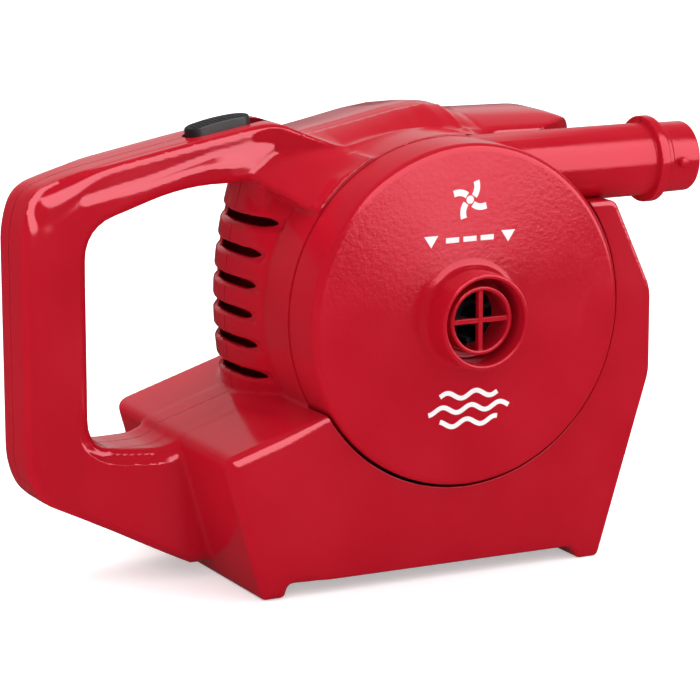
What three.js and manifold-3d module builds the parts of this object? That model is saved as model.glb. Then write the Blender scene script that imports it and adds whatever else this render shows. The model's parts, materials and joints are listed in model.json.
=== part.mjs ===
// Handheld rechargeable air pump for inflatable mattresses.
// Millimetres, +Z up, X along the length (handle at -X, nozzle at +X), Y across.
// While building, the fan axis is the line X = 0, Z = 0 and the mould parting plane is Y = 0.
// The finished group is moved so that the origin is the centre of the bottom of its box.
import * as THREE from 'three';
import * as BufferGeometryUtils from 'three/addons/utils/BufferGeometryUtils.js';
import Module from 'manifold-3d';

const wasm = await Module();
wasm.setup();

// ---- driving dimensions ----
const WALL = 2.6;
const GAP = 0.3;
const SEAM = 0.15;
const GRIP_HALF = 16.5;
const BODY_FRONT = -37;
const BODY_BACK = 52;
const BODY_CORNER = 45;
const PLATE_FRONT = -81.7;
const BASE_RAISED = -116.8;
const BASE_FOOT = -123.5;
const DRUM_R = 80.6;
const CHAMBER_R = 78;
const COVER_SEAM = -61.5;
const DISC_Y = -85.6;
const COLLAR_R = 22.3;
const COLLAR_Y = -101.7;
const RING_R = 15.9;
const RING_Y = -97.2;
const NOZZLE_Y = -61.5;
const NOZZLE_Z = 62.1;
const NOZZLE_R = 17.2;
const NOZZLE_BORE = 14.6;
const NOZZLE_END = 128.6;
const NOZZLE_ROOT = 12;
const FLANGE_R = 20.4;
const FLANGE_X = 105.4;
const PEG_X = 118.2;
const MOTOR_R = 18.4;
const MOTOR_FRONT = -36;
const MOTOR_LENGTH = 58;
const SHAFT_R = 1.6;
const IMPELLER_R = 64;
const BLADES = 9;
const SLOT_Z = [40.3, 26.9, 11.7, -2.7, -16.6, -30.3];
const BUTTON_TRAVEL = 6.5;
const CRADLE_DROP = 76;
const GRIP_SLOPE = Math.atan2(84.6 - 77.9, 39);
// Case screws as [x, z, back face they enter].
const SCREW_SITES = [
  [-176, 50, GRIP_HALF], [-176, -70, GRIP_HALF], [-52, 62, BODY_BACK],
  [84, 62, BODY_BACK], [-98, -108, BODY_BACK], [58, -104, BODY_BACK],
];
const MOTOR_SCREW_OFFSET = 12.5;
const COVER_SCREW_R = 69.6;
const COVER_SCREW_ANGLES = [155, 235, 320];

// Outlines in X, Z with a corner radius, all counter-clockwise.
const HANDLE_OUTLINE = [
  [-114.5, -117, 0], [-90, -117, 0], [-60, -60, 0], [-60, 60, 0], [-36, 62, 0], [-38, 76, 0],
  [-54, 80, 6], [-64, 84.6, 6], [-103, 77.9, 0], [-165, 66.2, 30], [-186, 60, 18],
  [-191, 44, 20], [-190, -66, 20], [-182.6, -81.7, 16],
];
const HAND_OPENING = [
  [-159.5, -61.5, 15], [-128, -61.5, 12], [-119.5, -57.8, 6], [-77, -43.5, 0], [-77, 58.1, 0],
  [-110, 58.1, 16], [-159.5, 41, 16],
];
const BODY_OUTLINE = [
  [-70, -84, 0], [70, -84, 0], [99, -36.8, 0], [99, 60, 22], [92, 82, 18], [32, 83.6, 10],
  [21, 87.6, 16], [-56, 77.6, 0], [-76, 72, 4], [-77.5, 50, 0], [-81.2, 26, 0], [-82.2, 2, 0],
  [-81, -22, 0], [-77.6, -45, 0],
];
const BODY_CAVITY = [
  [-64, -80, 0], [68, -80, 0], [95.5, -36, 0], [95.5, 62, 0], [85, 77, 0], [34, 80, 0],
  [21, 83, 0], [-54, 73.6, 0], [-71, 66, 0], [-74, 50, 0], [-78, 26, 0], [-79.2, 2, 0],
  [-78, -22, 0], [-74.6, -45, 0],
];
const BASE_OUTLINE = [
  [-102.6, BASE_FOOT, 2], [-91, BASE_FOOT, 2], [-88.5, BASE_RAISED, 2], [56, BASE_RAISED, 2],
  [60, BASE_FOOT, 2], [72.8, BASE_FOOT, 2], [99.4, -36.8, 2], [99.4, 3.8, 2], [79, 47.4, 2],
  [40, 47.4, 0], [-40, -20, 0], [-60, -37.2, 0], [-121.6, -56.4, 5],
];

// ---- solid helpers ----
function toManifold(geometry) {
  const bare = geometry.clone();
  bare.deleteAttribute('normal');
  bare.deleteAttribute('uv');
  const merged = BufferGeometryUtils.mergeVertices(bare, 1e-4);
  const index = merged.index.array;
  const triangles = [];
  for (let t = 0; t < index.length; t += 3) {
    const [a, b, c] = index.slice(t, t + 3);
    if (a !== b && b !== c && c !== a) triangles.push(a, b, c);
  }
  return new wasm.Manifold(new wasm.Mesh({
    numProp: 3,
    vertProperties: new Float32Array(merged.attributes.position.array),
    triVerts: new Uint32Array(triangles),
  }));
}

function toMesh(name, solid, color) {
  const mesh = solid.asOriginal().simplify(0.004).getMesh();
  const geometry = new THREE.BufferGeometry();
  const positions = new Float32Array(mesh.vertProperties);
  geometry.setAttribute('position', new THREE.BufferAttribute(positions, 3));
  geometry.setIndex(new THREE.BufferAttribute(new Uint32Array(mesh.triVerts), 1));
  geometry.computeVertexNormals();
  const object = new THREE.Mesh(geometry, new THREE.MeshStandardMaterial({ color }));
  object.name = name;
  return object;
}

// Closed outline with rounded corners. A corner too tight for the rim stays sharp.
function roundedShape(corners, rim = 0) {
  const shape = new THREE.Shape();
  const count = corners.length;
  for (let i = 0; i < count; i++) {
    const [x, z, wanted] = corners[i];
    const here = new THREE.Vector2(x, z);
    const before = new THREE.Vector2(...corners[(i + count - 1) % count].slice(0, 2));
    const after = new THREE.Vector2(...corners[(i + 1) % count].slice(0, 2));
    const turn = Math.PI - Math.abs(before.clone().sub(here).angleTo(after.clone().sub(here)));
    const room = Math.min(wanted, here.distanceTo(before) * 0.48, here.distanceTo(after) * 0.48);
    const radius = room / Math.tan(turn / 2) < rim * 1.6 ? 0 : room;
    const start = here.clone().lerp(before, radius / here.distanceTo(before));
    const end = here.clone().lerp(after, radius / here.distanceTo(after));
    if (i === 0) shape.moveTo(start.x, start.y);
    else shape.lineTo(start.x, start.y);
    if (radius > 0) shape.quadraticCurveTo(x, z, end.x, end.y);
  }
  shape.closePath();
  return shape;
}

function inset(corners, distance) {
  const count = corners.length;
  return corners.map(([x, z, radius], i) => {
    const [px, pz] = corners[(i + count - 1) % count];
    const [nx, nz] = corners[(i + 1) % count];
    const before = new THREE.Vector2(x - px, z - pz).normalize();
    const after = new THREE.Vector2(nx - x, nz - z).normalize();
    const normalA = new THREE.Vector2(-before.y, before.x);
    const normalB = new THREE.Vector2(-after.y, after.x);
    const sum = normalA.clone().add(normalB).normalize();
    const reach = distance / Math.max(0.4, sum.dot(normalA));
    return [x + sum.x * reach, z + sum.y * reach, Math.max(0, radius - distance)];
  });
}

// A prism of an X, Z outline between two Y planes, with rounded rims of the given size.
function prism(corners, front, back, rim = 0, rimSteps = 2, arcSteps = 4) {
  const shape = corners instanceof THREE.Shape ? corners : roundedShape(corners, rim);
  const geometry = new THREE.ExtrudeGeometry(shape, {
    depth: back - front - 2 * rim,
    bevelEnabled: rim > 0,
    bevelThickness: rim,
    bevelSize: rim,
    bevelOffset: -rim,
    bevelSegments: rimSteps,
    curveSegments: arcSteps,
    steps: 1,
  });
  geometry.rotateX(Math.PI / 2);
  geometry.translate(0, back - rim, 0);
  return toManifold(geometry);
}

function box(x0, x1, y0, y1, z0, z1) {
  const geometry = new THREE.BoxGeometry(x1 - x0, y1 - y0, z1 - z0);
  geometry.translate((x0 + x1) / 2, (y0 + y1) / 2, (z0 + z1) / 2);
  return toManifold(geometry);
}

// Turned shape about the fan axis; the profile is [radius, y] and may run either way round.
function turnedY(profile, segments = 48) {
  const points = profile.map(([r, y]) => new THREE.Vector2(r, y));
  if (THREE.ShapeUtils.area(points) < 0) points.reverse();
  return toManifold(new THREE.LatheGeometry(points, segments));
}

// Closed ring or disc about the fan axis from a list of [radius, y] corners.
function ringY(rInner, rOuter, y0, y1, segments = 48) {
  if (rInner <= 0) return turnedY([[0, y0], [rOuter, y0], [rOuter, y1], [0, y1]], segments);
  return turnedY([[rInner, y0], [rOuter, y0], [rOuter, y1], [rInner, y1], [rInner, y0]], segments);
}

function cylinderY(x, z, radius, y0, y1, segments = 16) {
  return ringY(0, radius, y0, y1, segments).translate([x, 0, z]);
}

// Turned shape about the nozzle axis; the profile is [radius, x].
function turnedNozzle(profile, segments = 24) {
  const points = profile.map(([r, x]) => new THREE.Vector2(r, x));
  const geometry = new THREE.LatheGeometry(points, segments);
  geometry.rotateZ(-Math.PI / 2);
  geometry.translate(0, NOZZLE_Y, NOZZLE_Z);
  return toManifold(geometry);
}

function unite(solids) {
  return solids.reduce((sum, solid) => sum.add(solid));
}

function wire(points, radius) {
  const path = new THREE.CatmullRomCurve3(points.map((p) => new THREE.Vector3(...p)));
  const section = new THREE.Shape();
  section.absarc(0, 0, radius, 0, Math.PI * 2, false);
  return toManifold(new THREE.ExtrudeGeometry(section, {
    steps: points.length * 4,
    curveSegments: 4,
    extrudePath: path,
    bevelEnabled: false,
  }));
}

// ---- moulded case ----
function handleLoop(corners, opening, half, rim, arcSteps) {
  const ring = prism(corners, -half, half, rim, 2, arcSteps);
  return ring.subtract(prism(opening, -half - 1, half + 1, 0, 1, arcSteps));
}

// What is taken off the body at its right front upright edge, which is rounded in plan.
function outsideCorner(inward) {
  const radius = BODY_CORNER - inward;
  const post = toManifold(new THREE.CylinderGeometry(radius, radius, 300, 48).rotateX(Math.PI / 2));
  const x = 99 - BODY_CORNER;
  const y = BODY_FRONT + BODY_CORNER;
  const square = box(x, 120, -90, y, -50, 110);
  return square.subtract(post.translate([x, y, 0]));
}

function caseHull() {
  const handle = handleLoop(HANDLE_OUTLINE, HAND_OPENING, GRIP_HALF, 5, 4);
  const body = prism(BODY_OUTLINE, BODY_FRONT, BODY_BACK, 9, 3).subtract(outsideCorner(0));
  const base = prism(BASE_OUTLINE, PLATE_FRONT, BODY_BACK, 3, 1);
  return unite([handle, body, base, ringY(0, DRUM_R, COVER_SEAM, BODY_FRONT + 5)]);
}

function handOpeningGrown() {
  const grown = inset(HAND_OPENING, -WALL);
  return grown.map(([x, z, radius]) => [x, z, radius > 0 ? radius + 2 * WALL : 0]);
}

function caseCavity() {
  const handle = handleLoop(inset(HANDLE_OUTLINE, WALL), handOpeningGrown(), GRIP_HALF - WALL, 0, 2);
  const bodyBlock = prism(BODY_CAVITY, BODY_FRONT + WALL, BODY_BACK - WALL, 7, 1);
  const bodyInside = bodyBlock.subtract(outsideCorner(WALL));
  const baseInset = inset(BASE_OUTLINE, WALL);
  const baseInside = prism(baseInset, PLATE_FRONT + WALL, BODY_BACK - WALL, 0, 1, 2);
  const aroundFan = box(-130, 60, PLATE_FRONT, BODY_FRONT + WALL, -20, 60);
  return unite([handle, bodyInside, baseInside.subtract(aroundFan)]);
}

function ventSlots() {
  return unite(SLOT_Z.map((z) => box(-95, -71, BODY_FRONT + 7, 30, z - 2.7, z + 2.7)));
}

// Slot in the top of the grip; it follows the slope of the grip.
function onGrip(solid) {
  return solid.rotate([0, -GRIP_SLOPE * 180 / Math.PI, 0]).translate([-86, 0, 80.8]);
}

function switchSlot() {
  return onGrip(box(-17.5, 17.5 + BUTTON_TRAVEL, -6.6, 6.6, -9, 12));
}

function bossFront(z, back) {
  if (back === GRIP_HALF) return -GRIP_HALF;
  return z < -80 ? PLATE_FRONT : BODY_FRONT;
}

function screwBosses() {
  return unite(SCREW_SITES.map(([x, z, back]) =>
    cylinderY(x, z, 4.2, bossFront(z, back) + 1, back - 1, 10)));
}

function screwHoles() {
  return unite(SCREW_SITES.map(([x, z, back]) => unite([
    cylinderY(x, z, 1.7, -14, 60, 8),
    cylinderY(x, z, 3.6, back - 6, 60, 12),
  ])));
}

function buildCase() {
  const shell = caseHull().subtract(caseCavity());
  const drumWall = ringY(CHAMBER_R, DRUM_R, COVER_SEAM, BODY_FRONT + WALL);
  const bosses = screwBosses().intersect(caseHull());
  let solid = unite([shell, drumWall, bosses]);
  const chamber = ringY(0, CHAMBER_R, -100, BODY_FRONT);
  const coverPocket = ringY(0, DRUM_R + 0.4, -100, COVER_SEAM + 0.2);
  const lip = ringY(0, CHAMBER_R - 5, -60, BODY_FRONT + WALL + 0.5);
  const nozzleClear = turnedNozzle([
    [0, NOZZLE_ROOT - GAP], [NOZZLE_R + 0.7, NOZZLE_ROOT - GAP], [NOZZLE_R + 0.7, 150], [0, 150],
  ]);
  solid = solid.subtract(unite([chamber, coverPocket, lip, nozzleClear]));
  return solid.subtract(ventSlots()).subtract(switchSlot()).subtract(screwHoles());
}

function motorCradle() {
  const ribs = [-24, 6].map((y) => box(-26, 26, y, y + 2.4, -CRADLE_DROP, 0));
  const bore = ringY(0, MOTOR_R + 0.4, -60, 60, 32);
  return unite(ribs).subtract(bore);
}

// Ribs in the grip that hold the switch body at both ends.
function switchRibs() {
  return onGrip(unite([-18, 15.4].map((x) => box(x, x + 2.4, -14.5, 14.5, -17, -10.5))));
}

function frontHousing(shell) {
  const half = shell.subtract(box(-300, 300, -SEAM, 300, -300, 300));
  const battery = batteryEnvelope();
  const ribs = motorCradle().subtract(box(-30, 30, -SEAM, 60, -90, 20));
  const holders = switchRibs().subtract(box(-200, 0, -SEAM, 60, 0, 100));
  return keepLargest(unite([half, ribs, holders]).subtract(battery));
}

function rearHousing(shell) {
  const half = shell.subtract(box(-300, 300, -300, SEAM, -300, 300));
  const ribs = unite([box(-26, 26, 6, 8.4, -74, 0), box(-3, 3, 6, BODY_BACK - 1, -74, -30)])
    .subtract(ringY(0, MOTOR_R + 0.4, -60, 60, 32));
  const holders = switchRibs().subtract(box(-200, 0, -60, SEAM, 0, 100));
  const socket = box(-62, -46, BODY_BACK - 14, BODY_BACK + 1, -70, -56);
  return keepLargest(unite([half, ribs, holders]).subtract(unite([socket, batteryEnvelope()])));
}

function keepLargest(solid) {
  const pieces = solid.decompose();
  pieces.sort((a, b) => b.volume() - a.volume());
  return pieces[0];
}

// ---- air path ----
function nozzleTube() {
  const outer = turnedNozzle([
    [0, NOZZLE_ROOT], [NOZZLE_R, NOZZLE_ROOT], [NOZZLE_R, FLANGE_X - 1],
    [FLANGE_R, FLANGE_X - 1], [FLANGE_R, FLANGE_X + 5], [NOZZLE_R, FLANGE_X + 5],
    [NOZZLE_R - 0.5, FLANGE_X + 9], [NOZZLE_R - 0.6, NOZZLE_END - 1],
    [NOZZLE_R - 1.4, NOZZLE_END], [0, NOZZLE_END],
  ]);
  const peg = new THREE.CylinderGeometry(1.9, 1.9, 2 * NOZZLE_R + 4.4, 10);
  peg.rotateX(Math.PI / 2);
  peg.translate(PEG_X, NOZZLE_Y, NOZZLE_Z);
  return outer.add(toManifold(peg));
}

function nozzleBore() {
  return turnedNozzle([
    [0, NOZZLE_ROOT + 8], [NOZZLE_BORE, NOZZLE_ROOT + 8], [NOZZLE_BORE, 140], [0, 140],
  ]);
}

function fanCover() {
  const skin = turnedY([
    [13.4, DISC_Y], [DRUM_R - 4, DISC_Y], [DRUM_R - 2, DISC_Y + 0.6], [DRUM_R - 1, DISC_Y + 2.4],
    [DRUM_R - 0.6, COVER_SEAM - SEAM], [CHAMBER_R - 0.6, COVER_SEAM - SEAM],
    [CHAMBER_R - 0.8, DISC_Y + WALL + 0.6], [CHAMBER_R - 3, DISC_Y + WALL], [13.4, DISC_Y + WALL],
    [13.4, DISC_Y],
  ]);
  const collar = turnedY([
    [17.6, DISC_Y + 1.3], [COLLAR_R + 3.3, DISC_Y + 0.7], [COLLAR_R + 0.8, DISC_Y - 2],
    [COLLAR_R, DISC_Y - 6], [COLLAR_R, COLLAR_Y + 1], [COLLAR_R - 0.8, COLLAR_Y],
    [COLLAR_R - 2, COLLAR_Y], [COLLAR_R - 2.4, COLLAR_Y + 1], [COLLAR_R - 2.4, DISC_Y - 1],
    [17.6, DISC_Y + 1.3],
  ]);
  const inner = turnedY([
    [13.7, DISC_Y + 1.9], [16.2, DISC_Y + 1.9], [RING_R + 0.1, DISC_Y - 1],
    [RING_R, RING_Y + 0.5], [RING_R - 0.6, RING_Y], [RING_R - 2, RING_Y],
    [RING_R - 2.4, RING_Y + 0.6], [13.7, DISC_Y + 1.9],
  ]);
  const front = nozzleFrontHalf();
  const cross = unite([
    box(-14.2, 14.2, RING_Y + 0.9, RING_Y + 3.6, -1.2, 1.2),
    box(-1.2, 1.2, RING_Y + 1.1, RING_Y + 3.4, -14.2, 14.2),
  ]);
  const open = unite([skin, collar]).subtract(nozzleBoreFront()).add(front);
  const posts = coverPosts(2.8, DISC_Y + 1, COVER_SEAM - SEAM);
  return keepLargest(unite([open, inner, cross, posts]).subtract(coverPosts(1.4, -74, -40)));
}

// The three places where the cover is screwed to the scroll, as [x, z].
const COVER_SCREWS = COVER_SCREW_ANGLES.map((degrees) => {
  const angle = degrees * Math.PI / 180;
  return [COVER_SCREW_R * Math.cos(angle), COVER_SCREW_R * Math.sin(angle)];
});

function coverPosts(radius, y0, y1) {
  return unite(COVER_SCREWS.map(([x, z]) => cylinderY(x, z, radius, y0, y1, 10)));
}

function coverScrew([x, z]) {
  const head = ringY(0, 2.3, BODY_FRONT, BODY_FRONT + 1.6, 10);
  const shank = ringY(0, 1.1, -72, BODY_FRONT + 0.1, 8);
  return head.add(shank).translate([x, 0, z]);
}

function nozzleFrontHalf() {
  const half = nozzleTube().subtract(box(-10, 200, COVER_SEAM - SEAM, 0, 0, 100));
  const outside = half.subtract(ringY(0, CHAMBER_R + 0.4, -100, 0));
  return outside.subtract(nozzleBore());
}

function nozzleBoreFront() {
  const rearHalf = box(-10, 200, COVER_SEAM - SEAM, 0, 0, 100);
  const overFan = box(-10, 40, -100, 0, 0, 100);
  return nozzleBore().subtract(rearHalf).subtract(overFan);
}

function scrollBack() {
  const plate = ringY(MOTOR_R + 3, CHAMBER_R - GAP - 0.2, BODY_FRONT - 2.6, BODY_FRONT - GAP);
  const wall = ringY(CHAMBER_R - 3, CHAMBER_R - GAP - 0.2, COVER_SEAM + GAP, BODY_FRONT - 2);
  const web = ringY(7, MOTOR_R + 3.6, BODY_FRONT - 2.6, BODY_FRONT - GAP, 32);
  const half = nozzleTube().subtract(box(-10, 200, -200, COVER_SEAM + SEAM, 0, 100))
    .subtract(ringY(0, CHAMBER_R - 1.6, -100, 0));
  const bore = nozzleBore().subtract(box(-10, 200, -200, COVER_SEAM - 1, 0, 100));
  const solid = unite([plate, wall, web, half]).subtract(bore);
  const screwHolesHere = unite([-1, 1].map((side) =>
    cylinderY(side * MOTOR_SCREW_OFFSET, 0, 1.9, -60, -30, 12)));
  const posts = coverPosts(2.8, COVER_SEAM + SEAM, BODY_FRONT - GAP - 0.2);
  return keepLargest(solid.add(posts).subtract(screwHolesHere).subtract(coverPosts(1.4, -74, -30)));
}

function impeller() {
  const back = ringY(2.5, IMPELLER_R, -47, -45, 48);
  const hub = ringY(SHAFT_R + 0.05, 8, -64, -43, 24);
  const blades = [];
  for (let i = 0; i < BLADES; i++) {
    const blade = new THREE.Shape();
    blade.moveTo(7, -0.8);
    blade.quadraticCurveTo(30, 5, IMPELLER_R - 1, 22 - 0.8);
    blade.lineTo(IMPELLER_R - 2, 24);
    blade.quadraticCurveTo(28, 8, 7, 1);
    blade.closePath();
    const arm = prism(blade, -78, -46);
    blades.push(arm.rotate([0, i * 360 / BLADES, 0]));
  }
  const cut = turnedY([[0, -90], [90, -90], [90, -66], [62, -66], [26, -77], [0, -77]]);
  const vanes = unite(blades).intersect(ringY(0, IMPELLER_R, -80, -44, 48)).subtract(cut);
  const bore = ringY(0, SHAFT_R + 0.02, -90, -40, 24);
  const eye = ringY(0, 13, -90, -64, 32);
  return keepLargest(unite([back, hub, vanes]).subtract(unite([bore, eye])));
}

// ---- motor ----
function motorCan() {
  const y0 = MOTOR_FRONT;
  const y1 = MOTOR_FRONT + MOTOR_LENGTH;
  const can = turnedY([
    [6.3, y0], [MOTOR_R - 1.5, y0], [MOTOR_R, y0 + 1.5], [MOTOR_R, y1], [MOTOR_R - 1.2, y1],
    [MOTOR_R - 1.2, y0 + 1.2], [6.3, y0 + 1.2], [6.3, y0],
  ], 32);
  const holes = unite([-1, 1].map((side) => cylinderY(side * MOTOR_SCREW_OFFSET, 0, 1.6, -60, -30, 12)));
  return can.subtract(holes);
}

function motorEndCap() {
  const y1 = MOTOR_FRONT + MOTOR_LENGTH;
  const cap = turnedY([
    [5.3, y1 - 1], [MOTOR_R - 1.5, y1 - 1], [MOTOR_R - 1.5, y1 + 0.3], [MOTOR_R - 1.5, y1 + 3],
    [MOTOR_R - 4, y1 + 4], [9, y1 + 4], [8, y1 + 7], [5.3, y1 + 7], [5.3, y1 - 1],
  ], 32);
  const tabs = [-1, 1].map((side) => box(side * 12 - 1.6, side * 12 + 1.6, y1 + 3, y1 + 10, -0.4, 0.4));
  return unite([cap, ...tabs]);
}

function frontBush() {
  return ringY(SHAFT_R + 0.05, 6, MOTOR_FRONT - 1.2, MOTOR_FRONT + 4, 24);
}

function rearBush() {
  const y1 = MOTOR_FRONT + MOTOR_LENGTH;
  return ringY(SHAFT_R + 0.05, 5, y1, y1 + 5.4, 24);
}

function motorShaft() {
  return ringY(0, SHAFT_R, -62, MOTOR_FRONT + MOTOR_LENGTH + 5, 24);
}

function armature() {
  const core = ringY(SHAFT_R + 0.02, 14, MOTOR_FRONT + 10, MOTOR_FRONT + 40, 20);
  const grooves = [0, 1, 2, 3, 4].map((i) => box(9, 15, -40, 30, -1.1, 1.1).rotate([0, i * 72, 0]));
  const windings = ringY(SHAFT_R + 0.02, 11, MOTOR_FRONT + 7, MOTOR_FRONT + 44, 20);
  const bore = ringY(0, SHAFT_R + 0.02, -90, 60, 24);
  return core.subtract(unite(grooves)).add(windings).subtract(bore);
}

function commutator() {
  return ringY(SHAFT_R + 0.02, 4.5, MOTOR_FRONT + 45, MOTOR_FRONT + 54, 20);
}

function screw(x, z, headBack, headRadius, shankRadius, length) {
  const head = turnedY([
    [0, headBack - 2.4], [headRadius, headBack - 2.4], [headRadius, headBack - 1],
    [headRadius - 0.8, headBack], [0, headBack],
  ], 12);
  const shank = ringY(0, shankRadius, headBack - 2.4 - length, headBack - 2.3, 8);
  const slot = box(-1.8, 1.8, headBack - 1, headBack + 1, -0.4, 0.4);
  return head.add(shank).subtract(slot).translate([x, 0, z]);
}

function motorScrew(side) {
  const head = ringY(0, 3, BODY_FRONT - 4.6, BODY_FRONT - 2.9, 14);
  const shank = ringY(0, 1.3, BODY_FRONT - 3, MOTOR_FRONT + 4, 12);
  return head.add(shank).translate([side * MOTOR_SCREW_OFFSET, 0, 0]);
}

// ---- battery, wiring and switch ----
function batteryEnvelope() {
  return box(-72, 48, -58, 30, BASE_RAISED + 3.4, -84);
}

function batteryCase() {
  const bottom = BASE_RAISED + 4;
  const shape = roundedShape([[-70, bottom, 2], [46, bottom, 2], [46, -86, 2], [-70, -86, 2]]);
  return prism(shape, -56, 28, 1.2, 1);
}

function batteryTerminal(y) {
  const foot = box(-66, -60, y - 3, y + 3, -85.8, -85);
  const tab = box(-63.4, -62.6, y - 3, y + 3, -85.2, -79);
  return foot.add(tab);
}

function button() {
  const shape = roundedShape([[-16.8, -0.5, 0], [16.8, -0.5, 0], [16.8, 4.6, 4], [-16.8, 4.6, 4]]);
  const cap = prism(shape, -6.2, 6.2, 1.4, 2);
  const stem = box(-9, 9, -4.6, 4.6, -6.4, 0);
  const ridges = [];
  for (let i = -6; i <= 6; i++) {
    ridges.push(box(i * 2 - 0.45, i * 2 + 0.45, -4.4, 4.4, 4.2, 5.1));
  }
  return onGrip(unite([cap, stem, ...ridges]));
}

function switchBody() {
  const shape = [[-15, -16.8, 1], [15, -16.8, 1], [15, -9.4, 1], [-15, -9.4, 1]];
  const block = prism(shape, -8, 8, 0.8, 1);
  const pocket = box(-6, 6 + BUTTON_TRAVEL, -3.4, 3.4, -13, -8);
  return onGrip(block.subtract(pocket));
}

function switchActuator() {
  return onGrip(box(-5, 5, -2.6, 2.6, -12, -6.7));
}

function chargeSocket() {
  const body = box(-61.4, -46.6, BODY_BACK - 20, BODY_BACK - 1.2, -69.4, -56.6);
  const hole = cylinderY(-54, -63, 3.6, BODY_BACK - 14, BODY_BACK + 2, 20);
  const pin = cylinderY(-54, -63, 1, BODY_BACK - 15, BODY_BACK - 4, 10);
  return body.subtract(hole).add(pin);
}

function circuitBoard() {
  const board = box(-66, -34, 22, 23.6, -76, -48);
  const parts = [
    box(-62, -56, 17, 22.2, -60, -54),
    box(-50, -44, 18, 22.2, -72, -64),
    box(-42, -38, 19, 22.2, -58, -52),
  ];
  return unite([board, ...parts]);
}

function batteryWire() {
  return wire([[-63, -40, -77], [-70, -30, -60], [-66, -28, 0], [-66, -12, 50], [-72, 0, 60]], 1.1);
}

function motorWire() {
  return wire([[-60, 4, 60], [-50, 18, 40], [-30, 34, 10], [-13.5, 34, 0]], 1.1);
}

// ---- assembly ----
const RED = 0xb01b28;
const STEEL = 0x9a9a9e;
const BLACK = 0x222222;
const shell = buildCase();
const nodes = [
  ['front_housing', frontHousing(shell), RED],
  ['rear_housing', rearHousing(shell), RED],
  ['fan_cover', fanCover(), RED],
  ['scroll_back', scrollBack(), RED],
  ['impeller', impeller(), BLACK],
  ['motor_can', motorCan(), STEEL],
  ['motor_end_cap', motorEndCap(), BLACK],
  ['motor_front_bush', frontBush(), 0xc09040],
  ['motor_rear_bush', rearBush(), 0xc09040],
  ['motor_shaft', motorShaft(), STEEL],
  ['armature', armature(), 0x8a4a2a],
  ['commutator', commutator(), 0xb87333],
  ['motor_screw_left', motorScrew(-1), STEEL],
  ['motor_screw_right', motorScrew(1), STEEL],
  ['battery', batteryCase(), 0x30333a],
  ['battery_terminal_front', batteryTerminal(-40), 0xc8b060],
  ['battery_terminal_back', batteryTerminal(10), 0xc8b060],
  ['switch_button', button(), BLACK],
  ['switch_slider', switchActuator(), 0xe0e0e0],
  ['switch_body', switchBody(), BLACK],
  ['charge_socket', chargeSocket(), BLACK],
  ['charge_board', circuitBoard(), 0x2f6b3a],
  ['battery_to_switch_wire', batteryWire(), 0x111111],
  ['switch_to_motor_wire', motorWire(), 0xaa2020],
];
SCREW_SITES.forEach(([x, z, back], i) => {
  nodes.push([`case_screw_${i + 1}`, screw(x, z, back - 3, 3.1, 1.4, 14), STEEL]);
});
COVER_SCREWS.forEach((site, i) => {
  nodes.push([`cover_screw_${i + 1}`, coverScrew(site), STEEL]);
});

const model = new THREE.Group();
model.name = 'air_mattress_pump';
for (const [name, solid, color] of nodes) model.add(toMesh(name, solid, color));
const bounds = new THREE.Box3().setFromObject(model);
const centre = bounds.getCenter(new THREE.Vector3());
for (const mesh of model.children) mesh.geometry.translate(-centre.x, -centre.y, -bounds.min.z);
export default model;
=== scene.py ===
import json
import math

import bmesh
import bpy
import numpy as np
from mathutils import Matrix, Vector


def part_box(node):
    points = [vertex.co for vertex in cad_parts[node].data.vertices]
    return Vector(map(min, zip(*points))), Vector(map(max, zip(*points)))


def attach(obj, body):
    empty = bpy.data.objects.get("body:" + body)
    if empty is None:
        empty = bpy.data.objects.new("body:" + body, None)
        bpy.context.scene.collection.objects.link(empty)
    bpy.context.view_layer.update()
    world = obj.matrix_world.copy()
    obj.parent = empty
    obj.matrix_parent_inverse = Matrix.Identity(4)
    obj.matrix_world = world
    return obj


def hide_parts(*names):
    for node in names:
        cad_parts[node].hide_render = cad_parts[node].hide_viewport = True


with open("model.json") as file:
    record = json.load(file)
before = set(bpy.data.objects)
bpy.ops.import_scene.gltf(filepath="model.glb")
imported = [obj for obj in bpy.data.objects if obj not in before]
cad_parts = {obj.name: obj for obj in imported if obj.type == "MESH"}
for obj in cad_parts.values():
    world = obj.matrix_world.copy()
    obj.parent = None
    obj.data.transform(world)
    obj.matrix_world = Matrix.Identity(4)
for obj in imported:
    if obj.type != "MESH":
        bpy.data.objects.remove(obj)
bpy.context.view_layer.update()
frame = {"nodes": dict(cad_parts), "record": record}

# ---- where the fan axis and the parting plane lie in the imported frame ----
can_low, can_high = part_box("motor_can")
ORIGIN = np.array([
    (can_low.x + can_high.x) / 2 * 1000.0,
    can_low.y * 1000.0 + 36.0,
    (can_low.z + can_high.z) / 2 * 1000.0,
])

# ---- dimensions, mm ----
WALL = 2.6
GRIP_HALF = 16.5
BODY_FRONT, BODY_BACK = -37.0, 52.0
PLATE_FRONT = -81.7
DRUM_R, CHAMBER_R = 80.6, 78.0
COVER_SEAM = -61.5
DISC_Y = -85.6
COLLAR_Y = -101.7
NOZZLE_Y, NOZZLE_Z = -61.5, 62.1
NOZZLE_R, NOZZLE_BORE, NOZZLE_END = 17.2, 14.6, 128.6
FLANGE_R, FLANGE_X, PEG_X = 20.4, 105.4, 118.2
# each slot: its height and how far it reaches to the front
SLOTS = [(39.4, 28.5), (24.9, 24.8), (10.2, 23.3), (-3.9, 21.8), (-17.8, 24.2), (-32.4, 26.0)]
GRIP_SLOPE = math.atan2(84.6 - 77.9, 39)
# each screw: X, Z and where the case ends behind its head
SCREWS = [
    (-176, 50, 16.5), (-176, -70, 16.5), (-52, 62, BODY_BACK),
    (84, 62, BODY_BACK), (-98, -108, BODY_BACK), (58, -104, BODY_BACK),
]
SEAM = 0.28

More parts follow.
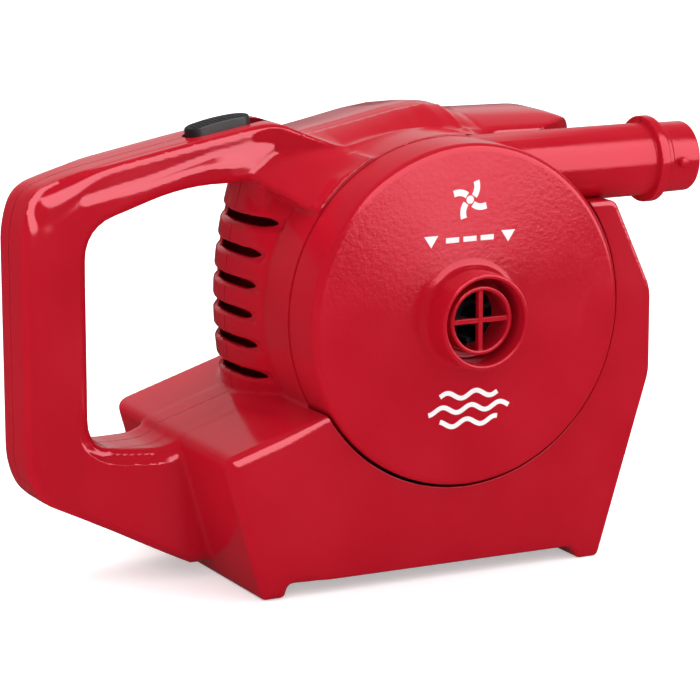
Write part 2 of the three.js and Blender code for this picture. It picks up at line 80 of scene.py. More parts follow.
HANDLE = [
    (-114.5, -117, 0), (-90, -117, 0), (-60, -60, 0), (-60, 60, 0), (-36, 62, 0), (-40, 74, 0),
    (-54, 80, 8), (-64, 84.8, 9), (-103, 78.4, 30), (-163, 67.2, 30), (-185.2, 60.2, 18), (-190.8, 43, 20),
    (-190.4, -68, 14), (-184, -83, 11),
]
OPENING = [
    (-159.5, -62, 19), (-128, -61.5, 12), (-119.5, -57.8, 8), (-74, -43, 0), (-74, 58.1, 0),
    (-110, 58.3, 22), (-159.5, 42.4, 15),
]
BODY = [
    (-92, -84, 0), (70, -84, 0), (99, -36.8, 0), (98.5, 62, 28), (85, 81.6, 26), (34, 83.2, 12),
    (23, 88.2, 20), (2, 86.8, 16), (-40, 79.4, 10), (-76, 72.5, 6), (-92, 60, 0),
]
BASE = [
    (-102.4, -123.5, 2.5), (-91.4, -123.5, 2.5), (-89.4, -117.2, 4), (58.4, -117.2, 4), (61.6, -123.5, 2.5),
    (72.8, -123.5, 2.5), (99.9, -36.8, 4), (99.9, 3.8, 5), (79.8, 47.4, 4), (40, 47.4, 0),
    (-40, -20, 0), (-60, -37.2, 0), (-121.4, -56.4, 6),
]


# ---- distance functions ----
def rounded(corners, steps=6):
    """Closed outline as points, each corner (x, z, r) turned into a short curve of tangent length r."""
    points = []
    count = len(corners)
    for i, (x, z, r) in enumerate(corners):
        here = np.array([x, z], float)
        before = np.array(corners[i - 1][:2], float)
        after = np.array(corners[(i + 1) % count][:2], float)
        r = min(r, np.linalg.norm(before - here) * 0.49, np.linalg.norm(after - here) * 0.49)
        if r <= 0:
            points.append(here)
            continue
        start = here + (before - here) / np.linalg.norm(before - here) * r
        end = here + (after - here) / np.linalg.norm(after - here) * r
        for t in np.linspace(0, 1, steps + 1):
            points.append((1 - t) ** 2 * start + 2 * t * (1 - t) * here + t * t * end)
    return np.array(points)


def outline(a, b, points):
    """Signed distance in a plane to a closed outline, negative inside."""
    best, sign = None, None
    for i in range(len(points)):
        (ax, az), (bx, bz) = points[i], points[i - 1]
        ex, ez = bx - ax, bz - az
        wx, wz = a - ax, b - az
        t = np.clip((wx * ex + wz * ez) / max(ex * ex + ez * ez, 1e-9), 0, 1)
        d = (wx - ex * t) ** 2 + (wz - ez * t) ** 2
        up, down, left = b >= az, b < bz, ex * wz > ez * wx
        flip = (up & down & left) | ~(up | down | left)
        flip = np.where(flip, -1.0, 1.0)
        best = d if best is None else np.minimum(best, d)
        sign = flip if sign is None else sign * flip
    return sign * np.sqrt(best)


def padded(flat, across, r):
    """A plane distance and a distance through the thickness, joined with rims rounded by r."""
    inner, across = flat + r, across + r
    rim = np.sqrt(np.maximum(inner, 0) ** 2 + np.maximum(across, 0) ** 2)
    return np.minimum(np.maximum(inner, across), 0) + rim - r


def slab(flat, y, y0, y1, r):
    """A plane distance given thickness from y0 to y1, with rims rounded by r."""
    return padded(flat, np.abs(y - (y0 + y1) / 2) - (y1 - y0) / 2, r)


def join(a, b, k):
    """Both shapes together, with a fillet of about k where they meet."""
    h = np.clip(0.5 + 0.5 * (b - a) / k, 0, 1)
    return b * (1 - h) + a * h - k * h * (1 - h)


def trim(a, b, k):
    """What two shapes share, with a rounded edge where they meet."""
    return -join(-a, -b, k)


def carve(a, b, k):
    """The first shape without the second."""
    return trim(a, -b, k)


HANDLE_POINTS, OPENING_POINTS = rounded(HANDLE), rounded(OPENING)
BODY_POINTS, BASE_POINTS = rounded(BODY), rounded(BASE)


def plane_through(p1, p2, p3):
    """Normal and one point of the plane through three points."""
    p1, p2, p3 = (np.array(p, float) for p in (p1, p2, p3))
    n = np.cross(p2 - p1, p3 - p1)
    return n / np.linalg.norm(n), p1


COWL_FLOOR = plane_through((-78.4, -24.5, 59.8), (-64.4, -61.5, 47.6), (-66.2, -24.5, 50.0))
COWL_FACE = plane_through((-78.0, -24.5, 59.6), (-64.2, -61.5, 46.7), (-56.0, -33.0, 70.6))
# along the upper bar: where its front starts to slope, and where and how far out that slope ends
SLOPE_X = [-176, -161, -143, -128, -114, -104, -96, -84, -77, -71, -63, -59, -54, -50, -47]
SLOPE_TOP = [44, 56, 60.0, 63.0, 66.8, 69.4, 71.6, 73.4, 75.0, 79.0, 82.4, 81.2, 80.0, 84.0, 88.0]
SLOPE_FOOT = [40, 53.6, 57.4, 60.4, 63.9, 65.9, 67.2, 67.0, 65.0, 65.7, 69.0, 69.9, 71.5, 76.0, 80.0]
SLOPE_OUT = [0, 0.9, 1.7, 1.8, 2.1, 2.6, 3.3, 3.8, 3.6, 6.2, 10.5, 14.1, 17.0, 18.0, 18.0]

# the ridge of the body, and how gently the top falls away to the front of it
RIDGE_X = [-92, -76, -40, -19, 2, 16, 24, 34, 91]
RIDGE_Z = [71, 72.4, 78.0, 82.0, 86.3, 88.2, 87.4, 83.6, 82.4]
SPREAD_X = [-62, -50, -38, -27, -13, -3, 8, 22, 36]
SPREAD = [700, 500, 240, 210, 180, 135, 100, 110, 200]


def above(plane, x, y, z):
    """Distance in front of a plane given by its normal and a point."""
    n, p = plane
    return n[0] * (x - p[0]) + n[1] * (y - p[1]) + n[2] * (z - p[2])


def ease(t):
    t = np.clip(t, 0, 1)
    return t * t * (3 - 2 * t)


def bar_slope(x, y, z):
    """Distance outside the sloped lower part of the upper bar's front."""
    top, foot = np.interp(x, SLOPE_X, SLOPE_TOP), np.interp(x, SLOPE_X, SLOPE_FOOT)
    fall = (top - foot) / np.maximum(np.interp(x, SLOPE_X, SLOPE_OUT), 1)
    return (z - top - (y + GRIP_HALF) * fall) / np.sqrt(1 + fall * fall)


def nose(x):
    """How far the front of the upper bar swings out at its end, where it runs into the cowl."""
    return 15.0 * np.clip((x + 76) / 27, 0, 1.2) ** 1.5


def handle_loop(x, y, z):
    """The hand loop, with a lip along the front of the upper bar and a step along the lower one."""
    ring = outline(x, z, HANDLE_POINTS)
    hole = outline(x, z, OPENING_POINTS)
    flat = trim(ring, -hole, 1.0)
    low_bar = ease((-34 - z) / 16)
    flare = 15 * ease((x + 168) / 50) * low_bar
    step = 4.2 * low_bar * ease((x + 172) / 20) * (1 - 0.6 * ease((x + 135) / 16))
    step = step * (1 - np.clip((hole - 2.6) / 3.4, 0, 1))
    swing = nose(x) * ease((z - 40) / 20)
    r = 4.6 + 1.6 * ease((hole - 11) / 8) + 3.6 * ease((-150 - x) / 25) * ease((hole - 11) / 8)
    r = r * (1 - 0.55 * ease((z - 48) / 10) * ease((x + 165) / 20))
    loop = padded(flat, np.abs(y) - GRIP_HALF - np.where(y < 0, flare - step + swing, 0), r)
    out = np.minimum(np.interp(x, SLOPE_X, SLOPE_OUT), 3.6) * ease((z - 15) / 30)
    lip = padded(flat, np.abs(y) - GRIP_HALF - np.where(y < 0, out, -3), 3.6)
    lip = trim(lip, bar_slope(x, y, z), 0.8)
    return join(loop, np.maximum(lip, x + 60), 0.6)


def crown(x, y, z):
    """The top of the body, which falls away to the front and a little to the back of its ridge."""
    top = np.interp(x, RIDGE_X, RIDGE_Z)
    ahead, behind = np.clip(-y, 0, 70), np.clip(y, 0, 60)
    spread = np.interp(x, SPREAD_X, SPREAD)
    return z - top + ahead ** 2 / spread + behind ** 2 / (50 + 6 * behind)


def fan_housing(x, y, z):
    """The body behind the fan: a bowed left wall, a hump on top and a squarer back."""
    body = slab(outline(x, z, BODY_POINTS), y, BODY_FRONT, BODY_BACK, 13.0)
    behind = 58 - np.sqrt(np.maximum(58 ** 2 - np.clip(y, 0, 54) ** 2, 1))
    wall = -83.8 + (z + 4) ** 2 / 370 + behind + np.clip(-y, 0, 60) ** 2 / 250 - x
    body = trim(body, wall * 0.9, 3.0)
    taper = np.sqrt(x * x + z * z) - 78.4 - 0.42 * (y + 37) - 0.9 * np.clip(x + 56, 0, 60)
    body = trim(body, taper * 0.9, 2.0)
    corner = np.hypot(np.maximum(x - 54, 0), np.maximum(8 - y, 0)) - 45
    body = np.maximum(body, corner)
    return trim(body, cowl_top(x, y, z), 1.5)


def cowl_top(x, y, z):
    """The cowl's leaning face and the crown of the body, run into each other."""
    return trim(above(COWL_FACE, x, y, z), crown(x, y, z), 6.0)


def cowl(x, y, z):
    """The cowl that runs from the upper bar down to a tip over the fan cover's joint."""
    lip = np.hypot(x, z) - DRUM_R - 2.2 * ease((-44 - x) / 10)
    lip = np.maximum(lip, np.maximum(y + 47, x + 40))
    shape = join(cowl_top(x, y, z), lip, 3.0)
    shape = np.maximum(shape, y + 10)
    shape = trim(shape, -61.3 - y, 2.0)
    shape = trim(shape, -above(COWL_FLOOR, x, y, z), 3.0)
    return np.maximum(shape, x - 24)


def hull(x, y, z):
    """The outside of the case with its openings filled."""
    body = join(fan_housing(x, y, z), cowl(x, y, z), 2.0)
    ledge = join(bar_slope(x, y, z), z - np.interp(x, SLOPE_X, SLOPE_FOOT), 0.6)
    notch = join(ledge, -GRIP_HALF - nose(x) - y, 1.6)
    body = trim(body, np.minimum(notch, -44 - x), 1.0)
    body = join(body, handle_loop(x, y, z), 1.6)
    round_wall = np.sqrt(x * x + z * z) - DRUM_R
    drum_back, drum_front = BODY_FRONT + 1.5, COVER_SEAM - 8
    across = np.abs(y - (drum_back + drum_front) / 2) - (drum_back - drum_front) / 2
    drum = np.maximum(np.maximum(round_wall, across), 0.7071 * (round_wall + across) + 1.0)
    body = join(body, drum, 2.0 + 5.0 * ease((x + 58) / 20) * ease(z / 30))
    body = np.maximum(body, COVER_SEAM - y)
    rim = np.where(y < -15, 1.2 + 3.4 * ease((-60 - x) / 35), 2.0)
    base = slab(outline(x, z, BASE_POINTS), y, PLATE_FRONT, BODY_BACK, rim)
    beyond = (-121.4 - x) * 0.962 + (-56.4 - z) * 0.272
    corner = np.hypot(np.maximum(beyond + 15, 0), np.maximum(y - BODY_BACK + 15, 0)) - 15
    base = np.maximum(base, corner)
    return join(body, base, 2.5)


def vents(x, y, z):
    """The six slots that run round the inner wall of the hand opening."""
    gaps = None
    for height, reach in SLOTS:
        half = 2.0 * np.sqrt(np.clip((y + reach) / 7, 0.01, 1))
        slot = np.maximum(np.abs(z - height) - half, np.maximum(-reach - y, y - 17))
        gaps = slot if gaps is None else np.minimum(gaps, slot)
    return np.maximum(gaps, np.maximum(x + 62, -x - 96))


def grooves(x, y, z, skin):
    """The rounded channels the slots lie in; they leave a row of ribs round the wall."""
    channels = None
    for height, reach in SLOTS:
        channel = np.hypot(z - height, skin - 1.3) - 3.2
        channel = trim(channel, np.maximum(-reach - 5 - y, y - 36), 2.0)
        channels = channel if channels is None else np.minimum(channels, channel)
    return np.maximum(channels, np.maximum(x + 62, -x - 99))


def bosses(x, y, z):
    """Columns in the case that the screws run through."""
    posts = None
    for sx, sz, back in SCREWS:
        front = -30 if back > 20 else -12
        post = np.maximum(np.hypot(x - sx, z - sz) - 4.6, np.maximum(front - y, y - back))
        posts = post if posts is None else np.minimum(posts, post)
    return posts


def screw_seats(x, y, z):
    """Round seats that bring the case out to each screw head where its back is rounded off."""
    seats = None
    for sx, sz, back in SCREWS:
        seat = np.maximum(np.hypot(x - sx, z - sz) - 6.2, np.abs(y - back + 8) - 8)
        seats = seat if seats is None else np.minimum(seats, seat)
    return seats


def outside(x, y, z):
    skin = join(hull(x, y, z), screw_seats(x, y, z), 2.0)
    ribbed = carve(skin, grooves(x, y, z, skin), 1.2)
    return carve(ribbed, vents(x, y, z), 0.8)


def inside(x, y, z):
    return np.maximum(hull(x, y, z) + WALL, -bosses(x, y, z))


# ---- surfaces from distance functions ----
def surface_net(function, low, high, cell):
    """Vertices and quads of the zero surface, one vertex a cell, set where the planes around it meet."""
    axes = [np.arange(low[i], high[i] + cell, cell, dtype=np.float32) for i in range(3)]
    x, y, z = axes[0][:, None, None], axes[1][None, :, None], axes[2][None, None, :]
    field = np.broadcast_to(function(x, y, z), [len(a) for a in axes]).astype(np.float32)
    filled = field < 0
    shape = np.array(field.shape) - 1
    count = np.zeros(shape, np.int8)
    for dx in (0, 1):
        for dy in (0, 1):
            for dz in (0, 1):
                count += filled[dx:dx + shape[0], dy:dy + shape[1], dz:dz + shape[2]]
    cells = np.argwhere((count > 0) & (count < 8))
    number = np.full(shape, -1, np.int32)
    number[tuple(cells.T)] = np.arange(len(cells))
    rows, places = [], []
    for axis in range(3):
        others = [k for k in range(3) if k != axis]
        for u in (0, 1):
            for v in (0, 1):
                a = cells.copy()
                a[:, others[0]] += u
                a[:, others[1]] += v
                b = a.copy()
                b[:, axis] += 1
                fa, fb = field[tuple(a.T)], field[tuple(b.T)]
                cross = np.nonzero((fa < 0) != (fb < 0))[0]
                point = a[cross].astype(float)
                point[:, axis] += fa[cross] / (fa[cross] - fb[cross])
                rows.append(cross)
                places.append(point * cell + np.array(low))
    row, place = np.concatenate(rows), np.concatenate(places)
    px, py, pz = place.T
    step = cell * 0.02
    f = function(px, py, pz)
    normal = np.stack([
        function(px + step, py, pz) - f,
        function(px, py + step, pz) - f,
        function(px, py, pz + step) - f,
    ], 1)
    normal /= np.maximum(np.linalg.norm(normal, axis=1)[:, None], 1e-9)
    hits = np.bincount(row, minlength=len(cells))
    mean = np.stack([np.bincount(row, place[:, k], len(cells)) for k in range(3)], 1) / hits[:, None]
    offset = ((place - mean[row]) * normal).sum(1)
    matrix = np.zeros((len(cells), 3, 3))
    right = np.zeros((len(cells), 3))
    for i in range(3):
        right[:, i] = np.bincount(row, normal[:, i] * offset, len(cells))
        for j in range(3):
            matrix[:, i, j] = np.bincount(row, normal[:, i] * normal[:, j], len(cells))
    matrix += np.eye(3) * 0.04
    shift = np.linalg.solve(matrix, right[:, :, None])[:, :, 0]
    points = mean + np.clip(shift, -cell * 0.8, cell * 0.8)
    quads = []
    for axis in range(3):
        u, v = (axis + 1) % 3, (axis + 2) % 3
        first = [slice(None)] * 3
        second = [slice(None)] * 3
        first[axis], second[axis] = slice(0, -1), slice(1, None)
        change = filled[tuple(first)] != filled[tuple(second)]
        edge = np.argwhere(change)
        in_u = (edge[:, u] > 0) & (edge[:, u] < shape[u])
        in_v = (edge[:, v] > 0) & (edge[:, v] < shape[v])
        edge = edge[in_u & in_v]
        corner = []
        for du, dv in ((-1, -1), (0, -1), (0, 0), (-1, 0)):
            c = edge.copy()
            c[:, u] += du
            c[:, v] += dv
            corner.append(number[tuple(c.T)])
        quad = np.stack(corner, 1)
        starts_inside = filled[tuple(edge.T)]
        quad[~starts_inside] = quad[~starts_inside][:, ::-1]
        quads.append(quad)
    return points, np.concatenate(quads)


def new_object(name, points, faces):
    """An object from points in millimetres about the fan axis."""
    mesh = bpy.data.meshes.new(name)
    places = (np.asarray(points) + ORIGIN) / 1000.0
    mesh.from_pydata(places.tolist(), [], [list(map(int, f)) for f in faces])
    mesh.validate()
    obj = bpy.data.objects.new(name, mesh)
    bpy.context.scene.collection.objects.link(obj)
    return obj


def tidy(obj, merge):
    """Merges points that coincide and turns all faces outwards."""
    bm = bmesh.new()
    bm.from_mesh(obj.data)
    bmesh.ops.remove_doubles(bm, verts=bm.verts, dist=merge)
    bmesh.ops.dissolve_degenerate(bm, edges=bm.edges, dist=merge)
    bmesh.ops.recalc_face_normals(bm, faces=bm.faces)
    bm.to_mesh(obj.data)
    bm.free()
    return obj


def mend(obj):
    """Reopens and closes the few spots where a surface touches itself along an edge."""
    bm = bmesh.new()
    bm.from_mesh(obj.data)
    for _ in range(8):
        bad = [e for e in bm.edges if not e.is_manifold]
        if not bad:
            break
        bmesh.ops.delete(bm, geom=list({v for e in bad for v in e.verts}), context="VERTS")
        bmesh.ops.holes_fill(bm, edges=[e for e in bm.edges if e.is_boundary], sides=0)
        bmesh.ops.triangulate(bm, faces=[f for f in bm.faces if len(f.verts) > 4])
    bmesh.ops.recalc_face_normals(bm, faces=bm.faces)
    bm.to_mesh(obj.data)
    bm.free()
    return obj


def boolean(obj, other, operation, keep=False):
    """Joins or subtracts a second object, which is then removed unless it is kept."""
    modifier = obj.modifiers.new("cut", "BOOLEAN")
    modifier.operation = operation
    modifier.object = other
    modifier.solver = "MANIFOLD"
    graph = bpy.context.evaluated_depsgraph_get()
    result = bpy.data.meshes.new_from_object(obj.evaluated_get(graph))
    obj.modifiers.remove(modifier)
    old = obj.data
    obj.data = result
    bpy.data.meshes.remove(old)
    if not keep:
        bpy.data.objects.remove(other)
    return obj


def cut(obj, other, keep=False):
    return boolean(obj, other, "DIFFERENCE", keep)


def add(obj, other):
    return boolean(obj, other, "UNION")


def block(x0, x1, y0, y1, z0, z1, name="block"):
    corners = [(x, y, z) for x in (x0, x1) for y in (y0, y1) for z in (z0, z1)]
    faces = [(0, 1, 3, 2), (4, 6, 7, 5), (0, 4, 5, 1), (2, 3, 7, 6), (0, 2, 6, 4), (1, 5, 7, 3)]
    return new_object(name, corners, faces)


def turned(name, profile, axis="y", centre=(0, 0, 0), segments=192):
    """Turned shape from a closed loop of (radius, along) points; points on the axis become poles."""
    profile = [tuple(p) for p in profile]
    if abs(profile[0][0] - profile[-1][0]) + abs(profile[0][1] - profile[-1][1]) < 1e-6:
        profile = profile[:-1]
    rows, points = [], []
    angles = np.arange(segments) * 2 * math.pi / segments
    for r, a in profile:
        if r < 1e-6:
            rows.append([len(points)] * segments)
            points.append((0.0, a, 0.0))
        else:
            rows.append(list(range(len(points), len(points) + segments)))
            points.extend(zip(r * np.sin(angles), [a] * segments, r * np.cos(angles)))
    faces = []
    for i in range(len(profile)):
        a, b = rows[i], rows[(i + 1) % len(profile)]
        if a[0] == a[1] and b[0] == b[1]:
            continue
        for k in range(segments):
            n = (k + 1) % segments
            quad = [a[k], b[k], b[n], a[n]]
            unique = list(dict.fromkeys(quad))
            if len(unique) > 2:
                faces.append(unique)
    points = np.array(points)
    if axis == "x":
        points = points[:, [1, 0, 2]]
    obj = new_object(name, points + np.array(centre, float), faces)
    return tidy(obj, 1e-7)


def pin(r, start, end):
    """Profile of a plain round bar."""
    return [(0, start), (r, start), (r, end), (0, end)]


def rod(x, z, r, y0, y1, segments):
    """A round bar along Y."""
    return turned("rod", pin(r, y0, y1), "y", (x, 0, z), segments)


def prism(name, points, y0, y1):
    """Straight-sided solid from an X, Z outline."""
    count = len(points)
    corners = [(p[0], y0, p[1]) for p in points] + [(p[0], y1, p[1]) for p in points]
    faces = [list(range(count)), list(range(2 * count - 1, count - 1, -1))]
    for i in range(count):
        n = (i + 1) % count
        faces.append([i, i + count, n + count, n])
    obj = new_object(name, corners, faces)
    bm = bmesh.new()
    bm.from_mesh(obj.data)
    bmesh.ops.recalc_face_normals(bm, faces=bm.faces)
    bm.to_mesh(obj.data)
    bm.free()
    return obj


def smooth(obj, degrees=32):
    """Smooth shading, with edges sharper than the angle kept crisp."""
    mesh = obj.data
    mesh.polygons.foreach_set("use_smooth", [True] * len(mesh.polygons))
    mesh.set_sharp_from_angle(angle=math.radians(degrees))
    mesh.update()
    return obj


# ---- the two halves of the case ----
CASE_LOW, CASE_HIGH = (-197, -89, -129), (107, 58, 97)
AHEAD, ASIDE = -130, 160
NOZZLE_AXIS = (0, NOZZLE_Y, NOZZLE_Z)


def on_grip(points):
    """From the flat of the switch slot to its place on the sloping grip."""
    points = np.asarray(points, float)
    c, s = math.cos(GRIP_SLOPE), math.sin(GRIP_SLOPE)
    x = points[:, 0] * c - points[:, 2] * s - 86
    z = points[:, 0] * s + points[:, 2] * c + 80.8
    return np.stack([x, points[:, 1], z], 1)


def stadium(half_length, half_width, steps=16):
    """Outline with straight sides and round ends."""
    points = []
    for side, centre in ((1, half_length - half_width), (-1, -half_length + half_width)):
        for t in np.linspace(-math.pi / 2, math.pi / 2, steps + 1):
            points.append((centre + side * half_width * math.cos(t), side * half_width * math.sin(t)))
    return np.array(points)


def slot_cutter():
    ring = stadium(21.2, 7.0)
    ring[:, 0] += 3.1
    count = len(ring)
    low = [(p[0], p[1], -9.0) for p in ring]
    high = [(p[0], p[1], 14.0) for p in ring]
    faces = [list(range(count))[::-1], list(range(count, 2 * count))]
    faces += [[i, (i + 1) % count, (i + 1) % count + count, i + count] for i in range(count)]
    return tidy(new_object("slot_cutter", on_grip(low + high), faces), 1e-7)


def air_way_cutters():
    """What the case leaves open for the fan cover, the fan chamber and the nozzle."""
    pocket_r, back = DRUM_R + 0.45, COVER_SEAM + 0.2
    chamber = [
        (0, AHEAD), (CHAMBER_R, AHEAD), (CHAMBER_R, BODY_FRONT), (CHAMBER_R - 5, BODY_FRONT),
        (CHAMBER_R - 5, BODY_FRONT + 4), (0, BODY_FRONT + 4),
    ]
    return [
        turned("pocket", pin(pocket_r, AHEAD, back), segments=256),
        turned("chamber", chamber, segments=256),
        turned("duct", pin(NOZZLE_R + 0.6, 11.7, ASIDE), "x", NOZZLE_AXIS, 96),
    ]


def build_case():
    cell = 1.3
    whole = mend(new_object("case", *surface_net(outside, CASE_LOW, CASE_HIGH, cell)))
    hollow = mend(new_object("hollow", *surface_net(inside, CASE_LOW, CASE_HIGH, cell * 2)))
    cut(whole, hollow)
    for cutter in air_way_cutters():
        whole = cut(whole, cutter)
    whole = cut(whole, slot_cutter())
    for x, z, back in SCREWS:
        whole = cut(whole, rod(x, z, 3.7, back - 6, back + 9, 32))
        whole = cut(whole, rod(x, z, 1.8, -14, back + 9, 24))
    whole = cut(whole, block(-61.8, -46.2, BODY_BACK - 16, BODY_BACK + 4, -69.8, -56.2))
    front, rear = whole, whole.copy()
    rear.data = whole.data.copy()
    bpy.context.scene.collection.objects.link(rear)
    front.name, rear.name = "front_shell", "rear_shell"
    cut(front, block(-300, 300, -SEAM, 300, -300, 300))
    cut(rear, block(-300, 300, -300, SEAM, -300, 300))
    return smooth(front), smooth(rear)


# ---- air path ----
def nozzle_tube():
    profile = [
        (0, 12, 0), (NOZZLE_R, 12, 0), (NOZZLE_R, FLANGE_X - 0.5, 0.5), (FLANGE_R, FLANGE_X - 0.5, 0.7),
        (FLANGE_R, FLANGE_X + 4.5, 0.7), (NOZZLE_R + 0.4, FLANGE_X + 4.5, 0.5),
        (NOZZLE_R + 0.3, FLANGE_X + 8.0, 0.4), (NOZZLE_R - 0.5, FLANGE_X + 8.6, 0.3),
        (NOZZLE_R - 0.7, NOZZLE_END, 1.0), (0, NOZZLE_END, 0),
    ]
    peg_profile = [(0, 8, 0), (2.3, 8, 0), (2.3, NOZZLE_R + 2.4, 1.0), (0, NOZZLE_R + 2.4, 0)]
    tube = turned("tube", rounded(profile, 4), "x", NOZZLE_AXIS, 128)
    for side in (-1, 1):
        peg = turned("peg", rounded(peg_profile, 4), "y", (0, 0, 0), 32)
        for v in peg.data.vertices:
            v.co.y = (v.co.y - ORIGIN[1] / 1000) * side + (ORIGIN[1] + NOZZLE_Y) / 1000
            v.co.x += PEG_X / 1000
            v.co.z += NOZZLE_Z / 1000
        tube = add(tube, tidy(peg, 1e-7))
    return tube


def nozzle_bore():
    return turned("bore", pin(NOZZLE_BORE, 20, ASIDE), "x", NOZZLE_AXIS, 96)


def fan_cover():
    loop = [
        (80.0, COVER_SEAM - SEAM, 0), (79.5, DISC_Y, 3.6), (22.8, DISC_Y, 4.2), (22.3, COLLAR_Y, 1.0),
        (20.1, COLLAR_Y, 0.8), (19.7, DISC_Y + 1.4, 0.8), (16.3, DISC_Y + 1.4, 0.8), (15.9, -97.2, 0.7),
        (13.9, -97.2, 0.7), (13.6, DISC_Y + 4, 0.5), (24, DISC_Y + 4, 1), (26, DISC_Y + 2.6, 1),
        (77.0, DISC_Y + 2.6, 2), (77.4, COVER_SEAM - SEAM, 0),
    ]
    cover = turned("fan_cover_skin", rounded(loop, 7), segments=256)
    cover = add(cover, block(-14.4, 14.4, -96.2, -93.6, -1.1, 1.1))
    cover = add(cover, block(-1.1, 1.1, -96.3, -93.5, -14.4, 14.4))
    half = nozzle_tube()
    cut(half, block(-20, 200, COVER_SEAM - SEAM, 0, 0, 120))
    cut(half, turned("inside", pin(78.4, -120, 0), segments=256))
    bore = nozzle_bore()
    cut(half, bore, keep=True)
    cut(bore, block(-20, 200, COVER_SEAM - SEAM, 0, 0, 120))
    cut(bore, block(-20, 42, -120, 0, 0, 120))
    cut(cover, bore)
    cover = add(cover, half)
    return smooth(cover)


def scroll_back():
    rim_in, rim_out, rim_front = CHAMBER_R - 3, CHAMBER_R - 0.5, COVER_SEAM + 0.3
    loop = [
        (7, BODY_FRONT - 2.6, 0), (rim_in, BODY_FRONT - 2.6, 1.5), (rim_in, rim_front, 0),
        (rim_out, rim_front, 0), (rim_out, BODY_FRONT - 0.3, 0.5), (7, BODY_FRONT - 0.3, 0),
    ]
    scroll = turned("scroll_skin", rounded(loop, 5), segments=192)
    half = nozzle_tube()
    cut(half, block(-20, 200, -200, COVER_SEAM + SEAM, 0, 120))
    cut(half, turned("inside", pin(CHAMBER_R - 1.6, -120, 0), segments=192))
    scroll = add(scroll, half)
    bore = nozzle_bore()
    cut(bore, block(-20, 200, -200, COVER_SEAM - 1, 0, 120))
    cut(scroll, bore)
    for side in (-1, 1):
        cut(scroll, rod(side * 12.5, 0, 1.9, -60, -30, 24))
    return smooth(scroll)


def print_ink(name, outlines):
    """White print: very thin solids that stand on the face of the cover."""
    first, *others = [prism(name, points, DISC_Y - 0.06, DISC_Y + 0.1) for points in outlines]
    for other in others:
        first = add(first, other)
    return first


def stroke(points, width):
    """Outline of a line of even width through points."""
    points = np.asarray(points, float)
    tangent = np.gradient(points, axis=0)
    tangent /= np.linalg.norm(tangent, axis=1)[:, None]
    normal = np.stack([-tangent[:, 1], tangent[:, 0]], 1) * width / 2
    return np.concatenate([points + normal, (points - normal)[::-1]])


def fan_mark(x, z):
    """Four curved blades round a hub."""
    shapes = []
    for k in range(4):
        angle = k * math.pi / 2 + 0.4
        arc = [(x + r * math.cos(angle + r * 0.09), z + r * math.sin(angle + r * 0.09))
               for r in np.linspace(2.6, 9.0, 9)]
        shapes.append(stroke(arc, 3.0))
    turns = np.linspace(0, 2 * math.pi, 25)[:-1]
    shapes.append(np.array([(x + 1.9 * math.cos(t), z + 1.9 * math.sin(t)) for t in turns]))
    return shapes


def cover_print():
    shapes = []
    for side in (-1, 1):
        shapes.append([(side * 20 - 3.6, 38.6), (side * 20 + 3.6, 38.6), (side * 20, 33.2)])
    for i in (-1, 0, 1):
        low, high = i * 9 - 3.4, i * 9 + 3.4
        shapes.append([(low, 37.2), (high, 37.2), (high, 34.8), (low, 34.8)])
    shapes += fan_mark(0.0, 54.0)
    for row, (z, half) in enumerate(((-36.5, 15), (-43, 21), (-49.5, 15))):
        xs = np.linspace(-half, half, 33)
        shapes.append(stroke(np.stack([xs, z + 1.5 * np.sin(xs * 0.42 + row)], 1), 2.2))
    return print_ink("cover_print", shapes)


# ---- switch ----
def button_field(x, y, z):
    """An oblong cap with a low crown and ridges across its top."""
    across = np.hypot(np.maximum(np.abs(x + 0.4) - 10.0, 0), y)
    wall = across - 6.3 + np.clip(z, 0, 5) * 0.05
    top = 5.2 - 0.0045 * (x + 0.4) ** 2 - 0.006 * y * y
    wave = np.clip(np.abs(np.mod(x / 2.2, 1) - 0.5) * 3.2 - 0.9, 0, 0.7) / 0.7
    groove = np.clip((5.1 - across) / 0.5, 0, 1) * 0.5 * wave
    return np.maximum(trim(wall, z - top + groove, 0.9), -0.5 - z)


def slide_button():
    cell = 0.26
    low, high = (-18.2, -7.4, -1.2), (18.2, 7.4, 6.4)
    points, quads = surface_net(button_field, low, high, cell)
    cap = new_object("slide_button_skin", on_grip(points), quads)
    stem = block(-9, 9, -4.6, 4.6, -6.4, 0.4)
    for v in stem.data.vertices:
        at = on_grip([np.array(v.co) * 1000 - ORIGIN])[0]
        v.co = (at + ORIGIN) / 1000
    cap = add(cap, stem)
    return smooth(cap, 50)


front_skin, rear_skin = build_case()
cover_skin = fan_cover()
scroll_skin = scroll_back()
ink = cover_print()
button_skin = slide_button()


# ---- materials ----
def material(name):
    mat = bpy.data.materials.new(name)
    mat.use_nodes = True
    tree = mat.node_tree
    return mat, tree, tree.nodes["Principled BSDF"]


def add_noise(tree, scale, detail=4.0, rough=0.55):
    coords = tree.nodes.new("ShaderNodeTexCoord")
    noise = tree.nodes.new("ShaderNodeTexNoise")
    noise.inputs["Scale"].default_value = scale
    noise.inputs["Detail"].default_value = detail
    noise.inputs["Roughness"].default_value = rough
    tree.links.new(coords.outputs["Object"], noise.inputs["Vector"])
    return noise


def map_range(tree, source, low, high, out_low, out_high):
    node = tree.nodes.new("ShaderNodeMapRange")
    node.inputs["From Min"].default_value = low
    node.inputs["From Max"].default_value = high
    node.inputs["To Min"].default_value = out_low
    node.inputs["To Max"].default_value = out_high
    tree.links.new(source, node.inputs["Value"])
    return node.outputs["Result"]


